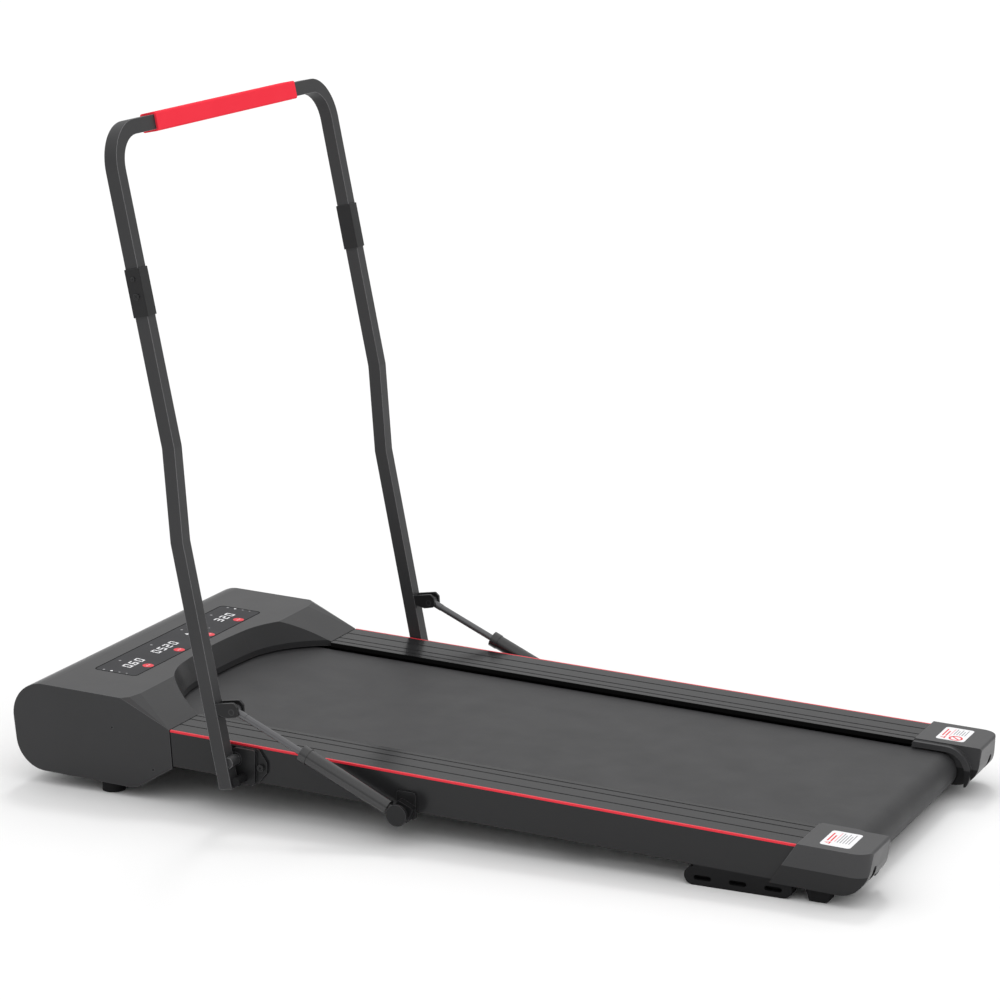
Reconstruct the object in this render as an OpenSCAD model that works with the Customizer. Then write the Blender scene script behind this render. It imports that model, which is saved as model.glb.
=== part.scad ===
// Folding walking pad with a fold-down handrail on two gas struts.
// The deck is drawn level in its own frame and then tipped by its slope. In that frame
// y = 0 is the rear end of the side rails and z = 0 is the floor under that line.

/* [Overall] */
// Slope of the deck, front end up, in degrees
incline = 2; // [1:0.5:3]
// Width across the two side rails
deck_w = 588; // [480:4:720]
// Length of the side rails, from the end caps to the motor hood
rail_len = 955; // [780:5:1160]
// Height of the side rails' top face at their rear end
rail_top = 78; // [76:1:94]

/* [Side rails] */
// Width of each side rail's top face
rail_w = 88; // [84:1:106]
// Height of a side rail's skirt
rail_h = 54; // [45:1:56]
// Wall of the side rails
rail_wall = 2.5; // [2:0.5:3]
// Side of the square red trim strip
trim_size = 3; // [2:0.5:5]
// Height of the end caps over the rails
cap_rise = 3; // [2:0.5:4]
// Length of the end caps behind the rails
cap_len = 101; // [96:1:122]
// Radius of the end caps' outer corners
cap_r = 25; // [15:1:30]

/* [Running deck] */
// Depth of the running belt under the rails' top face
belt_drop = 10; // [9:0.5:13]
// Thickness of the running belt
belt_t = 2; // [1.5:0.1:2.5]
// Diameter of both rollers
roller_d = 50; // [42:1:52]
// Diameter of the roller axles
axle_d = 12; // [10:1:14]
// Thickness of the rubber cushions under the running board
cushion_t = 4; // [3:0.5:6]
// Height of the frame's side tubes
tube_h = 30; // [26:1:32]
// Width of the frame's side tubes
tube_w = 25; // [22:1:30]

/* [Motor hood] */
// Length of the hood in front of the side rails
hood_len = 264; // [255:1:300]
// Height of the hood's top over the rails' top face
hood_rise = 35; // [30:1:42]
// Depth of the hood's bottom under the rails' top face
hood_sag = 97.5; // [90:0.5:100]
// Radius of the hood's front edges
hood_r = 50; // [40:1:50]
// Wall of the hood
hood_wall = 3; // [2.5:0.5:4]
// Width of the display glass
lens_w = 388; // [320:2:400]
// Depth of the display glass
lens_d = 73; // [60:1:75]

/* [Drive] */
// Diameter of the motor's body
motor_d = 70; // [60:1:72]
// Diameter of the pulley on the front roller
pulley_d = 72; // [60:1:76]
// Diameter of the motor's pulley
motor_pulley_d = 24; // [20:1:26]

/* [Handrail] */
// Width of the handrail tube, across the machine
post_w = 21; // [18:1:26]
// Depth of the handrail tube
post_d = 20; // [18:1:24]
// Wall of the handrail tube
post_wall = 1.5; // [1:0.5:2.5]
// Gap between a side rail and a post
post_gap = 14.4; // [13:0.2:20]
// Length of a post under its first bend
post_low = 360; // [300:5:430]
// Length of a post between its bends
post_mid = 135; // [100:5:170]
// Length of a post over its second bend
post_up = 445; // [380:5:530]
// Radius of the handrail's top corners, to the tube's middle
bend_r = 55; // [40:1:70]
// Length of the foam grip
grip_len = 414; // [340:2:420]
// Thickness of the foam grip
grip_t = 3; // [2:0.5:5]
// How far the handrail folds, in degrees
fold_angle = 100; // [90:1:100]

/* [Gas struts] */
// Diameter of a strut's cylinder
cyl_d = 22; // [18:1:24]
// Diameter of a strut's rod
rod_d = 10; // [8:1:12]
// Length of a strut's cylinder, from its eye to its gland
cyl_len = 166; // [150:1:168]

/* [Feet and wheels] */
// Diameter of the round front feet
foot_d = 34; // [28:1:40]
// Height of the slotted foot bars
bar_h = 26; // [20:1:27]
// Length of the slotted foot bars
bar_len = 154; // [130:2:180]
// Diameter of the transport wheels
wheel_d = 36; // [30:1:38]

/* [Hidden] */

$fn = 64;
fit = 0.3;        // gap between pieces on different bodies
run_fit = 0.05;   // radial clearance of a shaft in its bore
eps = 0.02;       // overlap of a cutter past a face
far = 3000;       // larger than the machine

// Levels and lines of the deck, in its own frame
w = deck_w / 2;
rail_bottom = rail_top - rail_h;
belt_top = rail_top - belt_drop;
loop_r = roller_d / 2 + fit;
roller_z = belt_top - belt_t - loop_r;
board_top = roller_z + loop_r;
tube_low = roller_z - tube_h / 2;
tube_top = tube_low + tube_h;
tube_wall = 2;
tube_in = w - 44;
tube_out = tube_in + tube_w;
tube_mid = (tube_in + tube_out) / 2;
member_h = roller_d / 2 - 1;
member_d = 40;
member_z = roller_z - roller_d / 2 + 2;
rail_in = w - rail_w;
belt_half = rail_in - 3;
roller_half = belt_half;
rear_y = -cap_len + 61;
front_y = rail_len + 95;
tube_rear = rear_y - 14;
belt_low = roller_z - loop_r - belt_t;
tube_front = rail_len + hood_len - 25;
beam_d = 20;
seam_lean = 6;
cap_slant = 32;

// Motor hood
hood_top = rail_top + hood_rise;
hood_bottom = rail_top - hood_sag;
wing_y = rail_len + 1.3;
crest_y = wing_y + 67.3;
front_low = rail_len + hood_len - 12;
front_high = rail_len + hood_len + 7;
front_tilt = atan2(front_high - front_low, hood_top - hood_bottom);
lens_t = 2.2;
lens_y = rail_len + 152;
key_d = 17;
key_pitch = lens_w * 0.238;
lip_z = belt_top + 3;
brim_z = rail_top + 2;
arch_big_r = 900;
arch_small_r = 158;
arch_small_x = w - 218;
arch_small_y = rail_len - 79;
arch_big_y = arch_small_y - sqrt(pow(arch_big_r - arch_small_r, 2) - pow(arch_small_x, 2));
arch_slope = 0.4;

// Drive
motor_y = front_y + 86;
motor_z = roller_z - 4;
motor_x0 = 60;
motor_x1 = 215;
pulley_x0 = belt_half + 23;
pulley_wide = 18;
drive_belt_t = 3;

// Handrail, with its pivot in the deck frame and then in the machine's frame
post_x = w + post_gap + post_w / 2;
pivot_deck = [rail_len - 113, rail_top - 21.3];
anchor_deck = [rail_len - 380.7, rail_top - 51];
function to_world(p) = [p[0] * cos(incline) - p[1] * sin(incline),
    p[0] * sin(incline) + p[1] * cos(incline)];
pivot = to_world(pivot_deck);
anchor = to_world(anchor_deck);
lean_low = 11.3;
lean_mid = 4.3;
lean_up = 11.6;
post_foot = 37;
barrel_d = 16;
pin_d = 10;
function along(a) = [sin(a), cos(a)];
function across(a) = [cos(a), -sin(a)];
post_start = pivot + across(lean_low) * post_d / 2 - along(lean_low) * post_foot;
post_kink_1 = post_start + along(lean_low) * post_low;
post_kink_2 = post_kink_1 + along(lean_mid) * post_mid;
post_end = post_kink_2 + along(lean_up) * post_up;
sleeve_h = 68;
sleeve_t = 2;
split = post_up * 0.496;
post_split = post_kink_2 + along(lean_up) * split;

// Gas struts: the upper eye sits behind the post, the lower eye on the rail's anchor
eye_u = 74;
eye_v = 24;
eye_w = 12;
eye_r = 8;
eye_bore = 8;
upper_eye = pivot + along(lean_low) * eye_u - across(lean_low) * eye_v;
strut_vec = upper_eye - anchor;
strut_len = norm(strut_vec);
strut_angle = atan2(strut_vec[1], strut_vec[0]);
low_eye_r = 10;
gland_h = 12;
rod_inside = 16;
cheek_t = 4;

// ---------- frames and helpers ----------

module world() { translate([0, -y_mid, 0]) children(); }

module deck() { world() rotate([incline, 0, 0]) children(); }

// A shape and its mirror image on the other side of the machine
module both() {
    children();
    mirror([1, 0, 0]) children();
}

module left() { mirror([1, 0, 0]) children(); }

// Outline in (y, z), drawn out along X
module along_x(x0, x1) { translate([x0, 0, 0]) rotate([90, 0, 90]) linear_extrude(x1 - x0) children(); }

// Outline in (x, z), drawn out along Y
module along_y(y0, y1) { translate([0, y1, 0]) rotate([90, 0, 0]) linear_extrude(y1 - y0) children(); }

module box(x0, x1, y0, y1, z0, z1) { translate([x0, y0, z0]) cube([x1 - x0, y1 - y0, z1 - z0]); }

module rod_x(x0, x1, y, z, d) { translate([x0, y, z]) rotate([0, 90, 0]) cylinder(h = x1 - x0, d = d); }

module ring_x(x0, x1, y, z, d, bore) {
    difference() {
        rod_x(x0, x1, y, z, d);
        rod_x(x0 - 1, x1 + 1, y, z, bore);
    }
}

// Everything on the side of a plane that its normal points to
module half_space(p, n) {
    translate(p) rotate([0, acos(n[2] / norm(n)), atan2(n[1], n[0])])
        translate([-far, -far, 0]) cube([2 * far, 2 * far, far]);
}

// Convex outline, corners given anticlockwise as [x, y, radius]
function unit(v) = v / norm(v);
function flat(c) = [c[0], c[1]];
function before(c, i) = unit(flat(c[i]) - flat(c[(i + len(c) - 1) % len(c)]));
function after(c, i) = unit(flat(c[(i + 1) % len(c)]) - flat(c[i]));
function reach(c, i) = c[i][2] * tan(acos(before(c, i) * after(c, i)) / 2);
function inward(d) = [-d[1], d[0]];
module rounded(c) {
    polygon([for (i = [0 : len(c) - 1]) for (s = [-1, 1])
        flat(c[i]) + s * reach(c, i) * (s < 0 ? before(c, i) : after(c, i)) + [0, 0]]);
    for (i = [0 : len(c) - 1])
        if (c[i][2] > 0)
            translate(flat(c[i]) - reach(c, i) * before(c, i) + c[i][2] * inward(before(c, i)))
                circle(r = c[i][2]);
}

// A rounded outline whose corner circles are wider than the outline itself
module trimmed(c) {
    intersection() {
        rounded(c);
        polygon([for (p = c) flat(p)]);
    }
}

// The same outline moved inward by d
function inset(c, d) = [for (i = [0 : len(c) - 1])
    let (a = inward(before(c, i)), b = inward(after(c, i)), p = flat(c[i]) + d * (a + b) / (1 + a * b))
    [p[0], p[1], max(c[i][2] - d, 0)]];

// Rounded rectangle centred on the origin
module plate(x, y, r) { rounded([[-x / 2, -y / 2, r], [x / 2, -y / 2, r], [x / 2, y / 2, r], [-x / 2, y / 2, r]]); }

// Frame of one post's lower part: +Z up the post, +Y out of its front, origin at the pivot
module post_frame() { world() translate([0, pivot[0], pivot[1]]) rotate([-lean_low, 0, 0]) children(); }

// Frame of a strut: +Z from its lower eye to its upper eye
module strut_frame(side) {
    world() translate([side * post_x, anchor[0], anchor[1]]) rotate([strut_angle - 90, 0, 0]) children();
}

// ---------- frame and running deck ----------

module frame_tube() {
    color("#2b2b2d") deck() difference() {
        box(tube_in, tube_out, tube_rear, tube_front, tube_low, tube_top);
        box(tube_in + tube_wall, tube_out - tube_wall, tube_rear + 3, tube_front + 1,
            tube_low + tube_wall, tube_top - tube_wall);
        for (y = [rear_y, front_y]) rod_x(tube_in - 1, tube_out + 1, y, roller_z, axle_d);
        translate([tube_mid, tube_rear - 1, roller_z]) rotate([-90, 0, 0]) cylinder(h = 5, d = 8);
    }
}

member_ys = [for (i = [0 : 3]) 40 + i * (rail_len - 120) / 3];
module cross_members() {
    color("#2b2b2d") deck() {
        for (y = member_ys) difference() {
            box(-tube_in, tube_in, y, y + member_d, member_z, member_z + member_h);
            box(-tube_in - 1, tube_in + 1, y + tube_wall, y + member_d - tube_wall,
                member_z + tube_wall, member_z + member_h - tube_wall);
        }
        difference() {
            box(-tube_in, tube_in, tube_front - beam_d, tube_front, tube_low + 4, tube_top - 4);
            box(-tube_in - 1, tube_in + 1, tube_front - beam_d + tube_wall, tube_front - tube_wall,
                tube_low + 4 + tube_wall, tube_top - 4 - tube_wall);
        }
    }
}

cushion_z = member_z + member_h;
board_half = belt_half + 2;
module deck_cushions() {
    color("#151515") deck()
        for (y = member_ys, x = [-0.8, -0.3, 0.3, 0.8])
            translate([x * board_half, y + member_d / 2, cushion_z]) linear_extrude(cushion_t) plate(44, 30, 6);
}

module deck_board() {
    color("#3a3230") deck()
        box(-board_half, board_half, rear_y + roller_d / 2 + 6, front_y - roller_d / 2 - 6,
            cushion_z + cushion_t, board_top);
}

module loop_outline(r) {
    translate([rear_y, roller_z]) circle(r = r);
    translate([front_y, roller_z]) circle(r = r);
    translate([rear_y, roller_z - r]) square([front_y - rear_y, 2 * r]);
}

module running_belt() {
    color("#4c4c4e") deck() along_x(-belt_half, belt_half) difference() {
        loop_outline(loop_r + belt_t);
        loop_outline(loop_r);
    }
}

// ---------- side rails ----------

seam_top = [wing_y, rail_top];
seam_low = [wing_y - seam_lean, rail_bottom];
seam_gap = 1.8;

// Side view of a rail: slanted ends that meet the hood and the end cap
module rail_side_view() {
    polygon([[0, rail_top + 1], [0, rail_top - 2], [cap_slant, rail_bottom],
        [seam_low[0] - seam_gap, rail_bottom], [wing_y - seam_gap, rail_top], [wing_y - seam_gap, rail_top + 1]]);
}

groove_w = 5;
groove_t = 0.5;
module rail_section() {
    difference() {
        translate([rail_in, rail_bottom]) square([rail_w, rail_h]);
        translate([rail_in - 1, rail_bottom - 1]) square([rail_wall + 1, belt_top + 4 - rail_bottom]);
        translate([rail_in + rail_wall, rail_bottom - 1]) square([rail_w - 2 * rail_wall, rail_h + 1 - rail_wall]);
        translate([w - trim_size, rail_top - trim_size]) square(trim_size + 1);
        for (x = [0.14, 0.34, 0.66]) translate([rail_in + x * rail_w - groove_w / 2, rail_top - groove_t])
            square([groove_w, groove_t + 1]);
    }
    translate([w - trim_size - rail_wall, rail_top - trim_size - rail_wall])
        difference() {
            square([trim_size + rail_wall, trim_size + rail_wall]);
            translate([rail_wall, rail_wall]) square(trim_size + 1);
        }
}

// Bolts of the pivot bracket, from the pivot
bolt_spots = [[11, 11], [11, -26], [-39, -8]];
bolt_d = 6;
module side_rail() {
    color("#3c3c3e") deck() difference() {
        intersection() {
            along_y(-1, rail_len + 10) rail_section();
            along_x(rail_in - 1, w + 1) rail_side_view();
        }
        for (p = bolt_spots)
            rod_x(w - rail_wall - 1, w + 1, pivot_deck[0] + p[0], pivot_deck[1] + p[1], bolt_d);
    }
}

module trim_strip() {
    color("#e0343f") deck()
        box(w - trim_size, w, 0, wing_y - seam_gap, rail_top - trim_size, rail_top);
}

module rail_supports() {
    color("#1c1c1c") deck() both()
        for (y = [for (i = [0 : 3]) 90 + i * (rail_len - 180) / 3]) {
            box(tube_in + 3, tube_out - 3, y, y + 24, tube_top, rail_top - rail_wall);
            box(tube_out, w - rail_wall, y, y + 24, tube_top - 12, tube_top - 2);
        }
}

// ---------- end caps ----------

bar_y0 = 4;
bar_x0 = w - 20;

cap_top = rail_top + cap_rise;
cap_low = rail_bottom - 4;
cap_out = w + 4;
cap_wall = 3;
cap_edge = 4;
cap_in = rail_in + 2;
slot_w = 14;
slot_h = 32;
cap_lean = 5;
module cap_profile(d) {
    trimmed(inset([[-cap_len + cap_lean, cap_low, 38], [cap_slant + 4, cap_low, 0], [0, cap_top, 0],
        [-cap_len, cap_top, cap_edge]], d));
}

module cap_plan(d) {
    rounded(inset([[cap_in, -cap_len, 3], [cap_out, -cap_len, cap_r], [cap_out, 60, 0], [cap_in, 60, 0]], d));
}

module cap_body(d) {
    intersection() {
        along_x(rail_in - 20, cap_out + 20) cap_profile(d);
        translate([0, 0, cap_low - 20]) linear_extrude(rail_top + 60) cap_plan(d);
    }
}

// Rim that curls over the edge of the belt and down behind the roller
rim_in = belt_half - 5;
rim_y = rear_y - 10;
rim_r = 38;
rim_t = 8;
rim_top = rail_top + 1;
rim_y0 = rim_y - rim_r;
module cap_rim() {
    along_x(rim_in, cap_in + 1) difference() {
        trimmed([[rim_y0, cap_low + 2, 14], [1, cap_low + 2, 0], [1, rim_top, 3], [rim_y0, rim_top, rim_r]]);
        trimmed([[rim_y0 + rim_t, cap_low, 0], [far, cap_low, 0], [far, rim_top - rim_t, 0],
            [rim_y0 + rim_t, rim_top - rim_t, rim_r - rim_t]]);
    }
}

module end_cap() {
    color("#343436") deck() {
        difference() {
            cap_body(0);
            cap_body(cap_wall);
            // open front, where the rail and the frame tube enter
            box(cap_in + cap_wall, w - rail_wall, -6, 60, cap_low + cap_wall, rail_top - rail_wall);
            // seat of the rail's end
            intersection() {
                along_y(-1, rail_len) translate([rail_in - 1, rail_bottom]) square([rail_w + 1, rail_h + eps]);
                along_x(rail_in - 1, w) rail_side_view();
            }
            // seat of the foot bar
            box(bar_x0 - 1, w + 0.5, bar_y0 - 2, 60, cap_low - 1, rail_bottom + eps);
            rod_x(rail_in - 5, cap_in + cap_wall + 1, rear_y, roller_z, axle_d + 2);
            // slot for the tension bolt's key
            translate([tube_mid, -cap_len - 1, roller_z]) rotate([-90, 0, 0])
                linear_extrude(30) plate(slot_w, slot_h, slot_w / 2 - 0.01);
        }
        // rib that stands on the frame tube
        box(tube_in + 4, tube_out - 4, rear_y - 4, rear_y + 26, tube_top, cap_top - cap_wall);
        cap_rim();
    }
}

module tension_bolts() {
    color("#8f9296") deck() both() translate([tube_mid, tube_rear, roller_z]) rotate([-90, 0, 0]) {
        translate([0, 0, -6]) difference() {
            cylinder(h = 6, d = 13);
            translate([0, 0, -1]) cylinder(h = 4, d = 6, $fn = 6);
        }
        cylinder(h = 14 - axle_d / 2, d = 8);
    }
}

// ---------- rollers and drive ----------

bearing_d = 28;
bearing_w = 8;
module rear_axle() {
    color("#a9acb0") deck() rod_x(-tube_out, tube_out, rear_y, roller_z, axle_d);
}

module front_axle() {
    color("#a9acb0") deck() rod_x(-tube_out, tube_out, front_y, roller_z, axle_d);
}

module roller_bearings() {
    color("#b9bcc0") deck() both()
        for (y = [rear_y, front_y])
            ring_x(roller_half - bearing_w - 1, roller_half - 1, y, roller_z, bearing_d, axle_d);
}

module roller(y) {
    difference() {
        rod_x(-roller_half, roller_half, y, roller_z, roller_d);
        rod_x(-roller_half - 1, roller_half + 1, y, roller_z, bearing_d + 2 * run_fit);
        rod_x(-roller_half + 20, roller_half - 20, y, roller_z, roller_d - 6);
    }
}

module rear_roller() { color("#8a8d91") deck() roller(rear_y); }

module front_roller() { color("#8a8d91") deck() roller(front_y); }

module roller_pulley() {
    color("#55585c") deck() difference() {
        union() {
            rod_x(pulley_x0, pulley_x0 + pulley_wide, front_y, roller_z, pulley_d);
            rod_x(roller_half, pulley_x0, front_y, roller_z, 34);
        }
        rod_x(roller_half - 1, pulley_x0 + pulley_wide + 1, front_y, roller_z, axle_d + 2);
        for (a = [0 : 60 : 300]) rotate_about_roller(a)
            rod_x(pulley_x0 - 1, pulley_x0 + pulley_wide + 1, front_y + 24, roller_z, 9);
    }
}

module rotate_about_roller(a) {
    translate([0, front_y, roller_z]) rotate([a, 0, 0]) translate([0, -front_y, -roller_z]) children();
}

span = norm([motor_y - front_y, motor_z - roller_z]);
span_tilt = atan2(motor_z - roller_z, motor_y - front_y);
belt_gap = asin((pulley_d - motor_pulley_d) / 2 / span);
tuck = 0.05;
module drive_outline(g) {
    r1 = pulley_d / 2 + g;
    r2 = motor_pulley_d / 2 + g;
    circle(r = r1);
    translate([span, 0]) circle(r = r2);
    polygon([[r1 * sin(belt_gap), r1 * cos(belt_gap) - tuck], [r1 * sin(belt_gap), tuck - r1 * cos(belt_gap)],
        [span + r2 * sin(belt_gap), tuck - r2 * cos(belt_gap)],
        [span + r2 * sin(belt_gap), r2 * cos(belt_gap) - tuck]]);
}

module drive_belt() {
    color("#141414") deck() translate([0, front_y, roller_z]) rotate([span_tilt, 0, 0])
        along_x(pulley_x0 + 2, pulley_x0 + pulley_wide - 2) difference() {
            drive_outline(fit + drive_belt_t);
            drive_outline(fit);
        }
}

module motor_housing() {
    color("#26282b") deck() {
        difference() {
            rod_x(motor_x0, motor_x1, motor_y, motor_z, motor_d);
            rod_x(motor_x0 + 12, motor_x1 + 1, motor_y, motor_z, 14);
        }
        for (x = [motor_x0 + 14 : 12 : motor_x1 - 30])
            ring_x(x, x + 3, motor_y, motor_z, motor_d + 5, motor_d - 1);
    }
}

bracket_t = 4;
saddle_top = motor_z - motor_d / 2 + 12;
bracket_z = motor_z - motor_d / 2 - 8;
module motor_bracket() {
    color("#37393c") deck() difference() {
        union() {
            box(motor_x0 + 4, motor_x1 - 4, motor_y - 30, tube_front - beam_d, bracket_z, bracket_z + bracket_t);
            box(motor_x0 + 4, motor_x1 - 4, tube_front - beam_d - bracket_t, tube_front - beam_d,
                bracket_z, tube_top - 6);
            for (x = [motor_x0 + 5, motor_x1 - 14])
                box(x, x + 8, motor_y - 26, motor_y + 26, bracket_z, saddle_top);
        }
        rod_x(motor_x0, motor_x1, motor_y, motor_z, motor_d);
        rod_x(motor_x0 + 13, motor_x1 - 14, motor_y, motor_z, motor_d + 6);
    }
}

module motor_shaft() {
    color("#b0b3b7") deck() rod_x(motor_x0 + 14, pulley_x0 + pulley_wide + 3, motor_y, motor_z, 14 - 2 * run_fit);
}

module motor_pulley() {
    color("#6a6d71") deck() ring_x(pulley_x0, pulley_x0 + pulley_wide, motor_y, motor_z,
        motor_pulley_d, 14 - 2 * run_fit);
}

// ---------- motor hood ----------

hood_corners = [[seam_low[0], rail_bottom - 4, 0], [rail_len + 55, hood_bottom, 40],
    [front_low, hood_bottom, hood_r], [front_high, hood_top, hood_r], [crest_y, hood_top, 0],
    [wing_y, rail_top, 0]];

// The open arch in the hood's rear edge, over the running belt, grown by g
module arch_disc(x, y, r, g) {
    translate([x, y, 0]) {
        translate([0, 0, lip_z - eps]) cylinder(h = brim_z - lip_z + 2 * eps, r = r + g);
        translate([0, 0, brim_z]) cylinder(h = hood_rise + 10, r1 = r + g,
            r2 = r + g + arch_slope * (hood_rise + 10));
    }
}

module arch_space(g) {
    for (s = [-1, 1]) arch_disc(s * arch_small_x, arch_small_y, arch_small_r, g);
    intersection() {
        arch_disc(0, arch_big_y, arch_big_r, g);
        translate([0, 0, lip_z - 1]) linear_extrude(hood_rise + 60)
            polygon([[0, arch_big_y], [arch_small_x * 1.33, arch_big_y + (arch_small_y - arch_big_y) * 1.4],
                [-arch_small_x * 1.33, arch_big_y + (arch_small_y - arch_big_y) * 1.4]]);
    }
}

corner_d = [w, wing_y, rail_top];
corner_c = [w - 34, crest_y, hood_top];
corner_b = [w - 10, crest_y + 5, hood_top];
corner_a = [w, crest_y + 14, hood_top];

// Two facets that ease each wing into the hood's side
module wing_facets(d) {
    for (f = [[corner_c, corner_b], [corner_b, corner_a]]) {
        n = cross(f[1] - corner_d, f[0] - corner_d);
        half_space(corner_d - unit(n) * d * sign(n[2]), n * sign(n[2]));
    }
}

module hood_solid(d) {
    difference() {
        along_x(-w + d, w - d) rounded(inset(hood_corners, d));
        both() wing_facets(d);
    }
}

module on_front(x, z) {
    translate([x, front_low + (z - hood_bottom) * tan(front_tilt), z]) rotate([-front_tilt, 0, 0]) children();
}

panel_x = -w + 90;
panel_z = (hood_top + hood_bottom) / 2 - 3;
panel_w = 74;
panel_h = 32;
pan_y0 = rail_len + 72;
pan_y1 = rail_len + 188;
pan_half = w - 44;
wheel_spot = inset(hood_corners, hood_r)[2];
wheel_y = wheel_spot[0] + (hood_r + 3 - wheel_d / 2) * sin(30);
wheel_z = wheel_spot[1] - (hood_r + 3 - wheel_d / 2) * cos(30);
wheel_w = 16;
side_screw = [rail_len + 96, rail_top - 12];
low_screw = [rail_len + 27, rail_bottom - 11];
screw_d = 4;

module motor_hood() {
    color("#48484a") deck() difference() {
        hood_solid(0);
        arch_space(0);
        difference() {
            hood_solid(hood_wall);
            arch_space(hood_wall);
            for (s = [-1, 1])
                rod_x(s > 0 ? w - 12 : -w, s > 0 ? w : -w + 12, low_screw[0], low_screw[1], 9);
        }
        // open rear end
        box(-w + hood_wall, w - hood_wall, rail_len - 20, rail_len + 14, rail_bottom, lip_z);
        box(-belt_half - 4, belt_half + 4, rail_len - 20, rail_len + 30, belt_low - 4, lip_z);
        // bottom opening under the pan
        box(-pan_half + 8, pan_half - 8, pan_y0 + 8, pan_y1 - 8, hood_bottom - 1, hood_bottom + hood_wall + 1);
        // wheel openings
        both() box(tube_mid - wheel_w / 2 - 7, tube_mid + wheel_w / 2 + 7, wheel_y - wheel_d / 2 - 4,
            wheel_y + wheel_d / 2 + 8, hood_bottom - 1, wheel_z + 5);
        // seat of the display glass, and the window under it
        translate([0, lens_y, hood_top - lens_t]) linear_extrude(lens_t + 1) plate(lens_w, lens_d, 8);
        translate([0, lens_y, hood_top - hood_wall - 1]) linear_extrude(lens_t + 1)
            plate(lens_w - 16, lens_d - 16, 4);
        // inlet panel
        on_front(panel_x, panel_z) translate([-panel_w / 2, -20, -panel_h / 2]) cube([panel_w, 30, panel_h]);
        // side screws
        both() for (p = [side_screw, low_screw]) rod_x(w - 12, w + 1, p[0], p[1], screw_d);
    }
}

module belly_pan() {
    color("#2c2c2e") deck() {
        box(-pan_half, pan_half, pan_y0, pan_y1, hood_bottom + hood_wall, hood_bottom + hood_wall + 2.5);
        for (x = [-0.6 : 0.2 : 0.6])
            box(x * pan_half - 1, x * pan_half + 1, pan_y0 + 12, pan_y1 - 12, hood_bottom + 0.6,
                hood_bottom + hood_wall);
    }
}

module key_centres() {
    for (i = [-1.5 : 1 : 1.5]) translate([i * key_pitch, lens_y - lens_d / 2 + 11.5, hood_top]) children();
}

module display_lens() {
    color("#1b1c1f") deck() difference() {
        translate([0, lens_y, hood_top - lens_t]) linear_extrude(lens_t) plate(lens_w, lens_d, 8);
        key_centres() translate([0, 0, -0.8]) cylinder(h = 2, d = key_d);
    }
}

module touch_keys() {
    color("#e5303f") deck() key_centres() translate([0, 0, -0.8]) cylinder(h = 1, d = key_d);
}

module display_board() {
    color("#1d5b35") deck() {
        translate([0, lens_y, hood_top - lens_t - 8]) linear_extrude(1.6) plate(lens_w - 24, lens_d - 24, 3);
        for (i = [-1.5 : 1 : 1.5])
            box(i * key_pitch - 24, i * key_pitch + 24, lens_y - 12, lens_y + 12,
                hood_top - lens_t - 6.4, hood_top - lens_t);
    }
}

box_z = hood_bottom + hood_wall + 2.5;
module control_box() {
    color("#3e4144") deck() {
        box(-w + 90, -w + 230, rail_len + 125, rail_len + 185, box_z, box_z + 26);
        for (i = [0 : 7]) box(-w + 100 + i * 16, -w + 104 + i * 16, rail_len + 128, rail_len + 182,
            box_z + 26, box_z + 38);
    }
}

inlet_dx = -15;
inlet_deep = 20;
switch_dx = 20;
module inlet_panel() {
    color("#161617") deck() on_front(panel_x, panel_z) difference() {
        union() {
            translate([0, 1.5, 0]) rotate([90, 0, 0]) linear_extrude(1.5) plate(panel_w + 6, panel_h + 6, 5);
            translate([-panel_w / 2, -6, -panel_h / 2]) cube([panel_w, 6, panel_h]);
        }
        translate([inlet_dx - 14, -7, -10]) cube([28, 10, 20]);
        translate([switch_dx - 8, -7, -11]) cube([16, 10, 22]);
    }
}

module power_inlet() {
    color("#0e0e0f") deck() on_front(panel_x, panel_z) translate([inlet_dx, 0, 0]) {
        difference() {
            translate([-14, -inlet_deep, -10]) cube([28, inlet_deep + 0.5, 20]);
            translate([-12, 3 - inlet_deep, -8]) cube([24, 30, 16]);
        }
        for (p = [[-7, -2], [0, 3], [7, -2]])
            translate([p[0] - 1, 3 - inlet_deep, p[1] - 2]) cube([2, inlet_deep - 9, 4]);
    }
}

rocker_r = 11;
rocker_deep = 8;
rocker_tilt = 8;
module rocker_switch() {
    color("#c22a32") deck() on_front(panel_x + switch_dx, panel_z)
        translate([0, -rocker_deep, 0]) rotate([-rocker_tilt, 0, 0]) intersection() {
            rod_x(-8 + fit, 8 - fit, 0, 0, 2 * rocker_r - 2 * fit);
            translate([-9, -3, -9]) cube([18, 14, 18]);
        }
}

module hood_screws() {
    color("#6d7074") deck() both() for (p = [side_screw, low_screw]) {
        rod_x(w - 12, w - 1, p[0], p[1], screw_d);
    }
}

// ---------- feet and wheels ----------

foot_x = w - 25;
foot_y = rail_len + 107;
module above_floor() {
    difference() {
        children();
        world() box(-far, far, -far, far, -far, 0);
    }
}

module front_feet() {
    color("#111111") above_floor() deck() both()
        translate([foot_x, foot_y, hood_bottom - 40]) cylinder(h = 40, d = foot_d);
}

rear_foot_x = w - 20;
module rear_feet() {
    color("#111111") above_floor() deck() both()
        along_x(rear_foot_x - 14, rear_foot_x + 14)
            polygon([[-48, cap_low], [-40, -10], [-22, -10], [-12, cap_low]]);
}

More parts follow.
